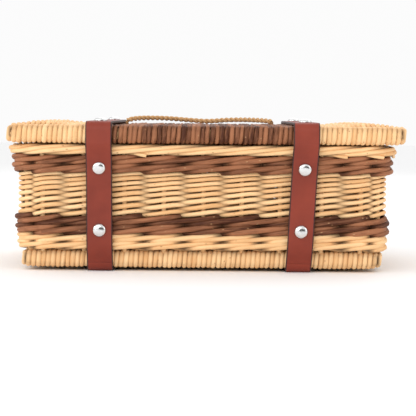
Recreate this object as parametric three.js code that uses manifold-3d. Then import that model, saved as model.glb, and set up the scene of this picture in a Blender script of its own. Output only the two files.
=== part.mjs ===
// Handlebar basket: a rectangular willow hamper with a separate flat lid, two leather straps that
// are its hinges and its closures, two leather loops for a handlebar and a folding rope handle.
// Millimetres, +Z up, +X along the length. The hinge side is -Y, the handlebar side is +Y, and the
// origin is the middle of the base's underside.
import * as THREE from "three";
import { mergeVertices } from "three/addons/utils/BufferGeometryUtils.js";
import Module from "manifold-3d";

// ---- Driving dimensions ----
const GAP = 0.3; // between pieces that touch
const SHORTEST = 1e-3; // corners nearer than this are one corner

// Body: outside of the side weave, and how far each band stands proud of it
const BODY_LENGTH = 361;
const BODY_DEPTH = 243;
const CORNER_RADIUS = 24; // outside of the side weave, seen from above
const BASE_THICKNESS = 18;
const BASE_OUTSET = -6;
const BASE_CORNER_RADIUS = 12;
const STAKE_SLOT = 1.2; // the stakes show between the base and the first wale
const BANDS = [
  { name: "lower_natural_wale", height: 14.2, outset: 0.5, thickness: 12, tone: "natural" },
  { name: "lower_dark_wale", height: 17.3, outset: 2.5, thickness: 14, tone: "dark" },
  { name: "side_weave", height: 41.7, outset: 0, thickness: 11.5, tone: "natural" },
  { name: "upper_dark_wale", height: 16, outset: 5.5, thickness: 14, tone: "dark" },
  { name: "top_border", height: 10.8, outset: 9, thickness: 16, tone: "natural" },
];
const POST_RADIUS = 2.4;
const POST_SINK = 15; // how deep a corner post stands in the base
const POST_REACH = 5; // how far it runs up into the top border
const POST_INSET = 10; // its foot lies that far inside the side weave's rounded corner
const POST_LEAN = 8.5; // and its top that much further out than its foot

// Lid
const LID_THICKNESS = 18.3;
const LID_OVERHANG = 13.5; // beyond the side weave
const LID_END_OVERHANG = 10; // and at the two ends
const LID_SHIFT = 3.5; // the handmade lid sits a little towards +X
const LID_CORNER_RADIUS = 11;
const LID_DARK_LENGTH = 190; // the dark middle part between the two natural ends

// The sticks that the base and the lid are woven on
const EDGE_STICK_RADIUS = 5;
const INNER_STICK_RADIUS = 4;
const EDGE_STICK_INSET = 9.5; // from the woven edge to the middle of the edge stick
const INNER_STICK_SPACING = 80;
const STICK_END_INSET = 1.5;
const SLAB_ROUNDING = 7;

// Leather
const STRAP_WIDTH = 25;
const STRAP_THICKNESS = 3;
const STRAP_SPACING_TOP = 198; // between the middles of the two straps at the lid
const STRAP_SPACING_BASE = 191.5; // and under the base
const STRAP_SHIFT_BASE = -2.45; // the handmade straps lie a little towards -X there
const HINGE_RISE = 2; // the hinge line above the lid's underside
const LID_BEND_RADIUS = 6; // of the inner face
const BASE_BEND_RADIUS = 7;
const STRAP_BED = 0.5; // how deep the tight straps are pressed into the base's weave
const TAIL_BELOW_CATCH = 13;

// Rivets, washers and catches
const HEAD_RADIUS = 6.5;
const HEAD_HEIGHT = 3.2;
const SHANK_RADIUS = 1.6;
const WASHER_RADIUS = 4.8;
const WASHER_THICKNESS = 1.2;
const PEEN_LENGTH = 1;
const UPPER_RIVET_BELOW_MIDDLE = 1.5; // of the upper dark wale
const LOWER_RIVET_ABOVE_BAND = 4; // above the lower edge of the lower dark wale
const LID_RIVET_FROM_EDGE = 27;
const CATCH_RADIUS = 5;
const CATCH_SINK = 1.2; // how deep a catch's disc is let into the leather

// Handlebar loops
const BAR_RADIUS = 15; // the thickest bar that a loop takes
const LOOP_SPACING = 110;
const LOOP_WIDTH = 20;
const LOOP_THICKNESS = 2.5;
const LOOP_SLOT_SPACING = 20; // between the two slots, middle to middle
const BAR_STANDOFF = 8; // between the bar and the side weave
const BAR_BELOW_BAND = 1.5; // the bar reaches that far below the lower edge of the side weave
const BUCKLE_WIRE = 1.4;
const BUCKLE_HEIGHT = 20;
const BUCKLE_MARGIN = 1.6; // between the strap's edge and the wire
const KEEPER_LENGTH = 5;
const KEEPER_THICKNESS = 1.2;
const KEEPER_FROM_WALL = 2;

// Rope handle
const ROPE_RADIUS = 2.7;
const HANDLE_SPAN = 150;
const HANDLE_SHIFT = -4;
const HANDLE_SAG = 39; // how far the slack middle lies behind the feet
// Where the slack rope lies: shares of the half span and of the sag, and the rise above the feet
const HANDLE_ROUTE = [
  [-1, 0, 0],
  [-0.93, 0.08, 1.6],
  [-0.8, 0.31, 2.7],
  [-0.6, 0.57, 2.9],
  [-0.37, 0.8, 2.2],
  [-0.13, 0.95, 0.8],
  [0.05, 1, 0],
  [0.19, 0.97, 0.2],
  [0.37, 0.85, 1.3],
  [0.56, 0.67, 1.8],
  [0.76, 0.39, 1.7],
  [0.92, 0.12, 1],
  [1, 0, 0],
];
const KNOT_RADIUS = 6;

// Facets
const ROUND_SIDES = 10;
const THIN_SIDES = 8;
const ARC_STEPS = 3; // of a plan corner's curve; a full arc has twice as many chords
const BEND_STEPS = 3;
const LOOP_STEPS = 12;
const ROPE_STEPS = 44;

// ---- Colours ----
const FINISHES = {
  natural: { color: 0xdcae72, roughness: 0.62, metalness: 0 },
  dark: { color: 0x6b4530, roughness: 0.6, metalness: 0 },
  peeled: { color: 0xe6c592, roughness: 0.66, metalness: 0 },
  leather: { color: 0x8c4233, roughness: 0.42, metalness: 0 },
  nickel: { color: 0xd4d2cc, roughness: 0.2, metalness: 1 },
  rope: { color: 0xc79a5e, roughness: 0.85, metalness: 0 },
};

// ---- What follows from the dimensions ----
const halfLength = BODY_LENGTH / 2;
const halfDepth = BODY_DEPTH / 2;
const bands = {};
let height = BASE_THICKNESS + STAKE_SLOT;
for (const band of BANDS) {
  bands[band.name] = { ...band, bottom: height, top: height + band.height };
  height += band.height + GAP;
}
const lidBottom = height;
const lidTop = lidBottom + LID_THICKNESS;
const lidFace = halfDepth + LID_OVERHANG + GAP; // inner face of the leather beside the lid
const strapTop = lidTop + GAP; // inner face of the leather above the lid
const hingeHeight = lidBottom + HINGE_RISE;
const faceOf = (name) => halfDepth + bands[name].outset + GAP;

// ---- Solids and meshes ----
const wasm = await Module();
wasm.setup();

// A closed geometry as a solid that can be joined and cut.
function toSolid(geometry) {
  const plain = geometry.clone();
  plain.deleteAttribute("normal");
  plain.deleteAttribute("uv");
  const merged = mergeVertices(plain, SHORTEST);
  return new wasm.Manifold(
    new wasm.Mesh({
      numProp: 3,
      vertProperties: merged.attributes.position.array,
      triVerts: new Uint32Array(merged.index.array),
    }),
  );
}

function toGeometry(solid) {
  const mesh = solid.getMesh();
  const geometry = new THREE.BufferGeometry();
  geometry.setAttribute("position", new THREE.BufferAttribute(mesh.vertProperties, 3));
  geometry.setIndex(new THREE.BufferAttribute(mesh.triVerts, 1));
  return geometry;
}

const cut = (geometry, tools) =>
  toGeometry(tools.reduce((left, tool) => left.subtract(toSolid(tool)), toSolid(geometry)));

const materials = {};
for (const [name, finish] of Object.entries(FINISHES))
  materials[name] = new THREE.MeshStandardMaterial({ ...finish, flatShading: true });

function piece(group, name, geometry, finish) {
  const mesh = new THREE.Mesh(geometry, materials[finish].clone());
  mesh.name = name;
  group.add(mesh);
  return mesh;
}

const SIDES = [
  { side: "left", sign: -1 },
  { side: "right", sign: 1 },
];

// ---- Shapes used by several pieces ----
function roundedRectangle(halfX, halfY, radius) {
  const shape = new THREE.Shape();
  const [x, y] = [halfX - radius, halfY - radius];
  const quarter = Math.PI / 2;
  shape.absarc(x, y, radius, 0, quarter);
  shape.absarc(-x, y, radius, quarter, 2 * quarter);
  shape.absarc(-x, -y, radius, 2 * quarter, 3 * quarter);
  shape.absarc(x, -y, radius, 3 * quarter, 4 * quarter);
  return shape;
}

function rod(radius, length, sides = ROUND_SIDES) {
  return new THREE.CylinderGeometry(radius, radius, length, sides);
}

const alongX = (radius, length) => rod(radius, length).rotateZ(Math.PI / 2);

// A slab with rounded edges, its underside at 0.
function wovenSlab(halfX, halfY, radius, thickness) {
  const outline = roundedRectangle(
    halfX - SLAB_ROUNDING,
    halfY - SLAB_ROUNDING,
    radius - SLAB_ROUNDING,
  );
  return new THREE.ExtrudeGeometry(outline, {
    depth: thickness - 2 * SLAB_ROUNDING,
    bevelEnabled: true,
    bevelThickness: SLAB_ROUNDING,
    bevelSize: SLAB_ROUNDING,
    bevelSegments: 2,
    curveSegments: ARC_STEPS,
  }).translate(0, 0, SLAB_ROUNDING);
}

// Places and sizes of the sticks of a slab that is halfY deep on each side.
function sticksOf(halfY) {
  const edge = halfY - EDGE_STICK_INSET;
  const inner = INNER_STICK_SPACING / 2;
  return [
    { y: -edge, radius: EDGE_STICK_RADIUS },
    { y: -inner, radius: INNER_STICK_RADIUS },
    { y: inner, radius: INNER_STICK_RADIUS },
    { y: edge, radius: EDGE_STICK_RADIUS },
  ];
}

// The leather's section: a line of points [y, z] on its inner face and the same line one thickness
// further out. A point before or after the line mitres that end.
function leatherSection(line, thickness, before, after) {
  const inner = line.map(([y, z]) => new THREE.Vector2(y, z));
  const whole = [
    ...(before ? [new THREE.Vector2(...before)] : []),
    ...inner,
    ...(after ? [new THREE.Vector2(...after)] : []),
  ];
  const first = before ? 1 : 0;
  const normals = whole.slice(1).map((point, i) => {
    const along = point.clone().sub(whole[i]).normalize();
    return new THREE.Vector2(along.y, -along.x);
  });
  const outer = inner.map((point, i) => {
    const next = normals[i + first] ?? normals.at(-1);
    const last = normals[i + first - 1] ?? next;
    const middle = last.clone().add(next).normalize();
    return point.clone().addScaledVector(middle, thickness / middle.dot(next));
  });
  return { inner, outer };
}

// A strip of leather of that section, its middle at x = 0.
function strip(section, width) {
  const shape = new THREE.Shape([...section.inner, ...section.outer.toReversed()]);
  return extrudeAcross(shape, width);
}

function extrudeAcross(shape, width, curveSegments = ARC_STEPS) {
  const turn = new THREE.Matrix4().makeBasis(
    new THREE.Vector3(0, 1, 0),
    new THREE.Vector3(0, 0, 1),
    new THREE.Vector3(1, 0, 0),
  );
  return new THREE.ExtrudeGeometry(shape, { depth: width, bevelEnabled: false, curveSegments })
    .applyMatrix4(turn)
    .translate(-width / 2, 0, 0);
}

// Points on an arc about a middle [y, z], from one angle to another in degrees.
function arc(y, z, radius, from, to, steps) {
  return Array.from({ length: steps + 1 }, (_, i) => {
    const angle = THREE.MathUtils.degToRad(from + ((to - from) * i) / steps);
    return [y + radius * Math.cos(angle), z + radius * Math.sin(angle)];
  });
}

// The inner face of the leather on a wall, from the top border down to the base: points [y, z],
// with y counted outwards.
const slopeTop = [faceOf("top_border"), bands.top_border.bottom - GAP];
const slopeFoot = [faceOf("upper_dark_wale"), bands.upper_dark_wale.bottom];
const lowerFace = faceOf("lower_dark_wale");
const wallLine = [
  slopeTop,
  slopeFoot,
  [lowerFace, bands.lower_dark_wale.top],
  [lowerFace, bands.lower_dark_wale.bottom],
  [faceOf("lower_natural_wale"), bands.lower_natural_wale.bottom],
];
const wallTilt = Math.atan2(slopeTop[0] - slopeFoot[0], slopeTop[1] - slopeFoot[1]);

function wallFace(z) {
  const i = wallLine.findIndex(([, height]) => height <= z);
  const [[y1, z1], [y2, z2]] = [wallLine[i - 1], wallLine[i]];
  return y2 + ((z - z2) / (z1 - z2)) * (y1 - y2);
}

const strapEndHeight = bands.upper_dark_wale.top - GAP;
const upperRivetHeight =
  (bands.upper_dark_wale.bottom + bands.upper_dark_wale.top) / 2 - UPPER_RIVET_BELOW_MIDDLE;
const lowerRivetHeight = bands.lower_dark_wale.bottom + LOWER_RIVET_ABOVE_BAND;

// Where a fastening sits: on the outer face of that many layers of leather, with its shank along
// the wall's normal. towards is -1 on the hinge side and 1 on the handlebar side.
function seat({ towards, z, tilt }, layers = 1) {
  const out = layers * STRAP_THICKNESS + (layers - 1) * GAP;
  return {
    y: towards * (wallFace(z) + out * Math.cos(tilt)),
    z: z - out * Math.sin(tilt),
    turn: -towards * (Math.PI / 2 + tilt),
  };
}

function setOnWall(mesh, x, place) {
  mesh.position.set(x, place.y, place.z);
  mesh.rotation.x = place.turn;
  return mesh;
}

// Where the middle of the strap of one side is at a height: the straps run closer together
// towards the base.
function strapX(sign, z) {
  const atBase = (sign * STRAP_SPACING_BASE) / 2 + STRAP_SHIFT_BASE;
  return THREE.MathUtils.lerp(atBase, (sign * STRAP_SPACING_TOP) / 2, Math.max(z, 0) / hingeHeight);
}

function lean(geometry, sign) {
  const position = geometry.attributes.position;
  for (let i = 0; i < position.count; i++)
    position.setX(i, position.getX(i) + strapX(sign, position.getZ(i)));
  return geometry;
}

// ---- Rivets and washers: head up, the leather's outer face at 0 ----
const headProfile = [
  [HEAD_RADIUS, GAP / 2],
  [HEAD_RADIUS * 0.97, HEAD_HEIGHT * 0.4],
  [HEAD_RADIUS * 0.74, HEAD_HEIGHT * 0.78],
  [HEAD_RADIUS * 0.38, HEAD_HEIGHT * 0.96],
  [0, HEAD_HEIGHT],
];

function rivet(length) {
  const end = -length - PEEN_LENGTH;
  return lathe([[0, end], [SHANK_RADIUS, end], [SHANK_RADIUS, GAP / 2], ...headProfile]);
}

function lathe(profile, sides = ROUND_SIDES) {
  const points = profile.map(([r, z]) => new THREE.Vector2(r, z));
  return new THREE.LatheGeometry(points, sides).rotateX(Math.PI / 2);
}

// A flat ring whose outer side is at -depth.
function washer(depth) {
  const [bore, top, bottom] = [SHANK_RADIUS + GAP, -depth, -depth - WASHER_THICKNESS];
  return lathe([
    [bore, bottom],
    [WASHER_RADIUS, bottom],
    [WASHER_RADIUS, top],
    [bore, top],
    [bore, bottom],
  ]);
}

// The shank's way through the wicker, from outside the leather to inside the washer.
const shankBore = (length) =>
  rod(SHANK_RADIUS + GAP, 2 * length, THIN_SIDES).rotateX(Math.PI / 2);

// The two halves of a catch: flat discs let into the leather's faces. The plate is held like a
// rivet, and the magnet by a head like a rivet's on the tail's outer face.
function catchPlate(length) {
  return lathe([
    [0, -length - PEEN_LENGTH],
    [SHANK_RADIUS, -length - PEEN_LENGTH],
    [SHANK_RADIUS, -CATCH_SINK],
    [CATCH_RADIUS, -CATCH_SINK],
    [CATCH_RADIUS, 0],
    [0, 0],
  ]);
}

const catchMagnet = () =>
  lathe([
    [0, -STRAP_THICKNESS],
    [CATCH_RADIUS, -STRAP_THICKNESS],
    [CATCH_RADIUS, CATCH_SINK - STRAP_THICKNESS],
    [SHANK_RADIUS, CATCH_SINK - STRAP_THICKNESS],
    [SHANK_RADIUS, GAP / 2],
    ...headProfile,
  ]);

// How far a washer lies below the leather's outer face, through a band at a height.
function gripThrough({ outset, thickness }, z, tilt) {
  const through = wallFace(z) - halfDepth - outset + thickness;
  return STRAP_THICKNESS + 2 * GAP + through / Math.cos(tilt) + WASHER_RADIUS * Math.tan(tilt);
}

const grips = {
  upper: gripThrough(bands.upper_dark_wale, upperRivetHeight, wallTilt),
  lower: gripThrough(bands.lower_dark_wale, lowerRivetHeight, 0),
  lid: STRAP_THICKNESS + 2 * GAP + LID_THICKNESS + GAP,
};
const fastenings = {
  upper_rivet: { towards: -1, z: upperRivetHeight, tilt: wallTilt, grip: grips.upper },
  lower_rivet: { towards: -1, z: lowerRivetHeight, tilt: 0, grip: grips.lower },
  catch_plate: { towards: 1, z: upperRivetHeight, tilt: wallTilt, grip: grips.upper },
};

// The bores for all shanks in the walls and the body straps.
const wallBores = () =>
  Object.values(fastenings).flatMap((fastening) => {
    const place = seat(fastening);
    return SIDES.map(({ sign }) =>
      shankBore(fastening.grip + 2 * WASHER_RADIUS)
        .rotateX(place.turn)
        .translate(strapX(sign, place.z), place.y, place.z),
    );
  });

// The recess that a catch's disc lies in, from a leather's face at 0 down into it.
const catchRecess = () =>
  rod(CATCH_RADIUS + GAP, 2 * (CATCH_SINK + GAP)).rotateX(Math.PI / 2);

// ---- The basket's own group ----
const basket = new THREE.Group();

// Corner posts lean outwards with the walls, on a line from the base's corner to the border's.
const cornerMiddle = { x: halfLength - CORNER_RADIUS, y: halfDepth - CORNER_RADIUS };
const postFoot = BASE_THICKNESS - POST_SINK;
const postTop = bands.top_border.bottom + POST_REACH;
const footReach = CORNER_RADIUS - POST_INSET;
const CORNERS = [
  { corner: "front_left", x: -1, y: -1 },
  { corner: "front_right", x: 1, y: -1 },
  { corner: "back_left", x: -1, y: 1 },
  { corner: "back_right", x: 1, y: 1 },
];

function postLine({ x, y }) {
  const at = (reach, z) =>
    new THREE.Vector3(
      x * (cornerMiddle.x + reach * Math.SQRT1_2),
      y * (cornerMiddle.y + reach * Math.SQRT1_2),
      z,
    );
  return { foot: at(footReach, postFoot), top: at(footReach + POST_LEAN, postTop) };
}

// A rod on a post's line. spare lengthens it at both ends.
function postRod(corner, radius, spare) {
  const { foot, top } = postLine(corner);
  const along = top.clone().sub(foot);
  const turn = new THREE.Quaternion().setFromUnitVectors(
    new THREE.Vector3(0, 1, 0),
    along.clone().normalize(),
  );
  return {
    geometry: rod(radius, along.length() + 2 * spare, THIN_SIDES),
    middle: foot.clone().add(top).multiplyScalar(0.5),
    turn,
  };
}

const postBores = () =>
  CORNERS.map((corner) => {
    const { geometry, middle, turn } = postRod(corner, POST_RADIUS + GAP, GAP);
    return geometry.applyQuaternion(turn).translate(...middle.toArray());
  });

// Base: weavers turned round long sticks, which run through the weave from end to end.
const baseX = halfLength + BASE_OUTSET;
const baseY = halfDepth + BASE_OUTSET;
const baseMiddle = BASE_THICKNESS / 2;
const baseSticks = sticksOf(baseY);
const baseBores = baseSticks.map(({ y, radius }) =>
  alongX(radius + GAP, 3 * baseX).translate(0, y, baseMiddle),
);
const bendMiddle = { y: baseY + GAP - BASE_BEND_RADIUS, z: BASE_BEND_RADIUS + STRAP_BED - GAP };
const baseBend = (radius) => arc(bendMiddle.y, bendMiddle.z, radius, 0, -90, BEND_STEPS);

// What a tight strap presses out of the weave: all that lies outside its inner face.
function strapBed() {
  const inner = baseBend(BASE_BEND_RADIUS - GAP);
  const corner = [bendMiddle.y + 2 * BASE_BEND_RADIUS, bendMiddle.z];
  const below = [corner[0], -BASE_BEND_RADIUS];
  const half = [below, corner, ...inner];
  const whole = [...half, ...half.map(([y, z]) => [-y, z]).toReversed()];
  const shape = new THREE.Shape(whole.map(([y, z]) => new THREE.Vector2(y, z)));
  return extrudeAcross(shape, STRAP_WIDTH + 2 * GAP);
}

const strapBeds = SIDES.map(({ sign }) => lean(strapBed(), sign));
piece(
  basket,
  "base_weave",
  cut(wovenSlab(baseX, baseY, BASE_CORNER_RADIUS, BASE_THICKNESS), [
    ...baseBores,
    ...postBores(),
    ...strapBeds,
  ]),
  "natural",
);
// A post stands on the edge stick's weave, so the edge sticks end short of the posts.
baseSticks.forEach(({ y, radius }, i) => {
  const edge = i === 0 || i === baseSticks.length - 1;
  const postSide = postLine(CORNERS[3]).foot.x - POST_RADIUS - 2 * GAP;
  const reach = edge ? postSide : baseX - STICK_END_INSET;
  piece(basket, `base_stick_${i + 1}`, alongX(radius, 2 * reach), "peeled")
    .position.set(0, y, baseMiddle);
});

// Handlebar loops: where they pass the side weave.
const loopMiddle = bands.side_weave.bottom + BAR_RADIUS - BAR_BELOW_BAND;
const loopWall = {
  outer: halfDepth + GAP,
  inner: halfDepth - bands.side_weave.thickness - GAP,
};
const loopSlots = () =>
  SIDES.flatMap(({ sign }) =>
    [-1, 1].map((level) =>
      new THREE.BoxGeometry(
        LOOP_WIDTH + 2 * GAP,
        2 * bands.side_weave.thickness,
        LOOP_THICKNESS + 2 * GAP,
      ).translate(
        (sign * LOOP_SPACING) / 2,
        halfDepth - bands.side_weave.thickness / 2,
        loopMiddle + (level * LOOP_SLOT_SPACING) / 2,
      ),
    ),
  );

// Wales, side weave and border: rings that share their corners' middles, one above the other.
for (const band of Object.values(bands)) {
  const outline = roundedRectangle(
    halfLength + band.outset,
    halfDepth + band.outset,
    CORNER_RADIUS + band.outset,
  );
  outline.holes.push(
    roundedRectangle(
      halfLength + band.outset - band.thickness,
      halfDepth + band.outset - band.thickness,
      CORNER_RADIUS + band.outset - band.thickness,
    ),
  );
  const ring = new THREE.ExtrudeGeometry(outline, {
    depth: band.height,
    bevelEnabled: false,
    curveSegments: ARC_STEPS,
  });
  const tools = [...postBores(), ...wallBores()];
  if (band.name === "side_weave") tools.push(...loopSlots());
  const inPlace = tools.map((tool) => tool.translate(0, 0, -band.bottom));
  piece(basket, band.name, cut(ring, inPlace), band.tone).position.z = band.bottom;
}

for (const corner of CORNERS) {
  const { geometry, middle, turn } = postRod(corner, POST_RADIUS, 0);
  const post = piece(basket, `corner_post_${corner.corner}`, geometry, "peeled");
  post.position.copy(middle);
  post.quaternion.copy(turn);
}

for (const [name, fastening] of Object.entries(fastenings)) {
  const place = seat(fastening);
  for (const { side, sign } of SIDES) {
    const x = strapX(sign, place.z);
    const shape = name === "catch_plate" ? catchPlate(fastening.grip) : rivet(fastening.grip);
    setOnWall(piece(basket, `${name}_${side}`, shape, "nickel"), x, place);
    const ring = piece(basket, `${name}_washer_${side}`, washer(fastening.grip), "nickel");
    setOnWall(ring, x, place);
  }
}

// ---- Body straps: down the hinge side, under the base and up the handlebar side ----
const strapBend = baseBend(BASE_BEND_RADIUS);
const strapEnd = [wallFace(strapEndHeight), strapEndHeight];
const bodyStrapLine = [
  ...[
    [lidFace, hingeHeight - GAP / 2],
    [lidFace, bands.top_border.top],
    ...wallLine,
    ...strapBend,
  ].map(([y, z]) => [-y, z]),
  ...[strapEnd, ...wallLine.slice(1), ...strapBend].toReversed(),
];
const plateSeat = seat(fastenings.catch_plate);
for (const { side, sign } of SIDES) {
  const strap = lean(strip(leatherSection(bodyStrapLine, STRAP_THICKNESS), STRAP_WIDTH), sign);
  const recess = catchRecess()
    .rotateX(plateSeat.turn)
    .translate(strapX(sign, plateSeat.z), plateSeat.y, plateSeat.z);
  piece(basket, `body_strap_${side}`, cut(strap, [...wallBores(), recess]), "leather");
}

// ---- Handlebar loops: closed straps through the side weave, each with its buckle ----
const barMiddle = { y: halfDepth + BAR_STANDOFF + BAR_RADIUS, z: loopMiddle };
const loopRadius = BAR_RADIUS + GAP;

// Half the loop's height at the wall and the angle where it meets the bar, that far outside the
// strap's inner face.
function loopMeasures(out) {
  const half = (LOOP_SLOT_SPACING - LOOP_THICKNESS) / 2 + out;
  const radius = loopRadius + out;
  const away = barMiddle.y - loopWall.outer;
  const meets = Math.PI - Math.atan2(half, away) - Math.acos(radius / Math.hypot(half, away));
  return { half, radius, meets };
}

function loopContour(out, Kind) {
  const { half, radius, meets } = loopMeasures(out);
  const { y, z } = barMiddle;
  const contour = new Kind();
  contour.moveTo(loopWall.inner - out, z - half);
  contour.lineTo(loopWall.outer, z - half);
  contour.absarc(y, z, radius, -meets, meets);
  contour.lineTo(loopWall.outer, z + half);
  contour.lineTo(loopWall.inner - out, z + half);
  return contour;
}

// A curved plate on the outside of the loop, between two angles in degrees.
function onLoop(from, to, rise, thickness, width) {
  const radius = loopRadius + LOOP_THICKNESS + rise;
  const inner = arc(barMiddle.y, barMiddle.z, radius, from, to, BEND_STEPS);
  const outer = arc(barMiddle.y, barMiddle.z, radius + thickness, from, to, BEND_STEPS);
  const shape = new THREE.Shape(
    [...inner, ...outer.toReversed()].map(([y, z]) => new THREE.Vector2(y, z)),
  );
  return extrudeAcross(shape, width);
}

const buckleHalf = THREE.MathUtils.radToDeg(BUCKLE_HEIGHT / 2 / (loopRadius + LOOP_THICKNESS));
const buckleWindow = new THREE.BoxGeometry(
  LOOP_WIDTH + 2 * BUCKLE_MARGIN,
  2 * BAR_RADIUS,
  BUCKLE_HEIGHT - 4 * BUCKLE_WIRE,
).translate(0, barMiddle.y + loopRadius, barMiddle.z);
const buckleFrame = cut(
  onLoop(
    -buckleHalf,
    buckleHalf,
    GAP,
    BUCKLE_WIRE,
    LOOP_WIDTH + 2 * (BUCKLE_MARGIN + 2 * BUCKLE_WIRE),
  ),
  [buckleWindow],
);
const bucklePin = onLoop(
  -buckleHalf,
  buckleHalf,
  2 * GAP + BUCKLE_WIRE,
  BUCKLE_WIRE,
  2 * BUCKLE_WIRE,
);

// The keeper is a short sleeve round the loop's lower leg, next to the wall.
const leg = loopMeasures(LOOP_THICKNESS / 2);
const legFoot = new THREE.Vector2(loopWall.outer, barMiddle.z - leg.half);
const legEnd = new THREE.Vector2(
  barMiddle.y + leg.radius * Math.cos(leg.meets),
  barMiddle.z - leg.radius * Math.sin(leg.meets),
);
const legTurn = legEnd.clone().sub(legFoot).angle();
const keeperPlace = legFoot.clone().lerp(
  legEnd,
  (KEEPER_LENGTH / 2 + KEEPER_FROM_WALL) / legFoot.distanceTo(legEnd),
);
const sleeve = (spare, length) =>
  new THREE.BoxGeometry(LOOP_WIDTH + 2 * spare, length, LOOP_THICKNESS + 2 * spare);

for (const { side, sign } of SIDES) {
  const x = (sign * LOOP_SPACING) / 2;
  const shape = loopContour(LOOP_THICKNESS, THREE.Shape);
  shape.holes.push(loopContour(0, THREE.Path));
  const loop = extrudeAcross(shape, LOOP_WIDTH, LOOP_STEPS);
  piece(basket, `handlebar_strap_${side}`, loop, "leather").position.x = x;
  piece(basket, `buckle_frame_${side}`, buckleFrame, "nickel").position.x = x;
  piece(basket, `buckle_pin_${side}`, bucklePin, "nickel").position.x = x;
  const keeper = cut(sleeve(GAP + KEEPER_THICKNESS, KEEPER_LENGTH), [sleeve(GAP, 2 * KEEPER_LENGTH)]);
  const mesh = piece(basket, `strap_keeper_${side}`, keeper, "leather");
  mesh.position.set(x, keeperPlace.x, keeperPlace.y);
  mesh.rotation.x = legTurn;
}

// ---- Lid: three woven parts on four sticks ----
const lid = new THREE.Group();
const lidX = halfLength + LID_END_OVERHANG;
const lidY = halfDepth + LID_OVERHANG;
const lidSticks = sticksOf(lidY);
const lidRivetY = lidY - LID_RIVET_FROM_EDGE;
const lidStrapX = STRAP_SPACING_TOP / 2;
const lidSlab = wovenSlab(lidX, lidY, LID_CORNER_RADIUS, LID_THICKNESS).translate(
  LID_SHIFT,
  0,
  lidBottom,
);
const lidBores = [
  ...lidSticks.map(({ y, radius }) =>
    alongX(radius + GAP, 3 * lidX).translate(0, y, (lidBottom + lidTop) / 2),
  ),
  ...SIDES.flatMap(({ sign }) => [
    ...[-lidRivetY, lidRivetY].map((y) =>
      shankBore(LID_THICKNESS).translate(sign * lidStrapX, y, (lidBottom + lidTop) / 2),
    ),
    rod(ROPE_RADIUS + GAP, 2 * LID_THICKNESS)
      .rotateX(Math.PI / 2)
      .translate(HANDLE_SHIFT + (sign * HANDLE_SPAN) / 2, 0, (lidBottom + lidTop) / 2),
  ]),
];
const darkHalf = LID_DARK_LENGTH / 2;
const lidParts = [
  { part: "left", from: -2 * lidX, to: -darkHalf - GAP / 2, tone: "natural" },
  { part: "centre", from: -darkHalf + GAP / 2, to: darkHalf - GAP / 2, tone: "dark" },
  { part: "right", from: darkHalf + GAP / 2, to: 2 * lidX, tone: "natural" },
];
for (const { part, from, to, tone } of lidParts) {
  const block = new THREE.BoxGeometry(to - from, 3 * lidY, 3 * LID_THICKNESS).translate(
    (from + to) / 2,
    0,
    (lidBottom + lidTop) / 2,
  );
  const woven = toGeometry(toSolid(lidSlab).intersect(toSolid(block)));
  piece(lid, `lid_weave_${part}`, cut(woven, lidBores), tone);
}
lidSticks.forEach(({ y, radius }, i) => {
  const stick = alongX(radius, 2 * (lidX - STICK_END_INSET));
  piece(lid, `lid_stick_${i + 1}`, stick, "peeled")
    .position.set(LID_SHIFT, y, (lidBottom + lidTop) / 2);
});

// Lid straps: from the mitre at the handlebar side over the lid to the hinge line.
const lidStrapLine = [
  [lidFace - GAP, strapTop],
  ...arc(LID_BEND_RADIUS - lidFace, strapTop - LID_BEND_RADIUS, LID_BEND_RADIUS, 90, 180, BEND_STEPS),
  [-lidFace, hingeHeight + GAP / 2],
];
const lidStrap = cut(
  strip(leatherSection(lidStrapLine, STRAP_THICKNESS, [lidFace - GAP, 0]), STRAP_WIDTH),
  [-lidRivetY, lidRivetY].map((y) => shankBore(LID_THICKNESS).translate(0, y, strapTop)),
);
for (const { side, sign } of SIDES) {
  piece(lid, `lid_strap_${side}`, lidStrap, "leather").position.x = sign * lidStrapX;
  for (const [end, y] of [["hinge", -lidRivetY], ["catch", lidRivetY]]) {
    const place = [sign * lidStrapX, y, strapTop + STRAP_THICKNESS];
    piece(lid, `lid_rivet_${end}_${side}`, rivet(grips.lid), "nickel").position.set(...place);
    piece(lid, `lid_washer_${end}_${side}`, washer(grips.lid), "nickel").position.set(...place);
  }
}

// ---- Strap tails: each hangs from the lid's edge and holds to the body strap by a flat magnet ----
const tails = {};
const tailFoot = upperRivetHeight - TAIL_BELOW_CATCH;
const overBodyStrap = leatherSection(
  [[wallFace(tailFoot), tailFoot], slopeFoot, strapEnd],
  STRAP_THICKNESS + GAP,
).outer.map(({ x, y }) => [x, y]);
const tailLine = [...overBodyStrap, [lidFace, bands.top_border.top], [lidFace, strapTop - GAP]];
const tailSection = leatherSection(tailLine, STRAP_THICKNESS, undefined, [0, strapTop - GAP]);
const magnetSeat = seat(fastenings.catch_plate, 2);
const magnetBack = seat(fastenings.catch_plate, 1);
for (const { side, sign } of SIDES) {
  tails[side] = new THREE.Group();
  tails[side].position.x = sign * lidStrapX;
  const x = strapX(sign, magnetBack.z) - sign * lidStrapX;
  const tail = cut(strip(tailSection, STRAP_WIDTH), [
    shankBore(4 * STRAP_THICKNESS)
      .rotateX(magnetSeat.turn)
      .translate(x, magnetSeat.y, magnetSeat.z),
    catchRecess()
      .rotateX(magnetSeat.turn)
      .translate(
        x,
        magnetSeat.y - STRAP_THICKNESS * Math.cos(wallTilt),
        magnetSeat.z + STRAP_THICKNESS * Math.sin(wallTilt),
      ),
  ]);
  piece(tails[side], `strap_tail_${side}`, tail, "leather");
  const magnet = piece(tails[side], `catch_magnet_${side}`, catchMagnet(), "nickel");
  setOnWall(magnet, x, magnetSeat);
}

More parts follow.
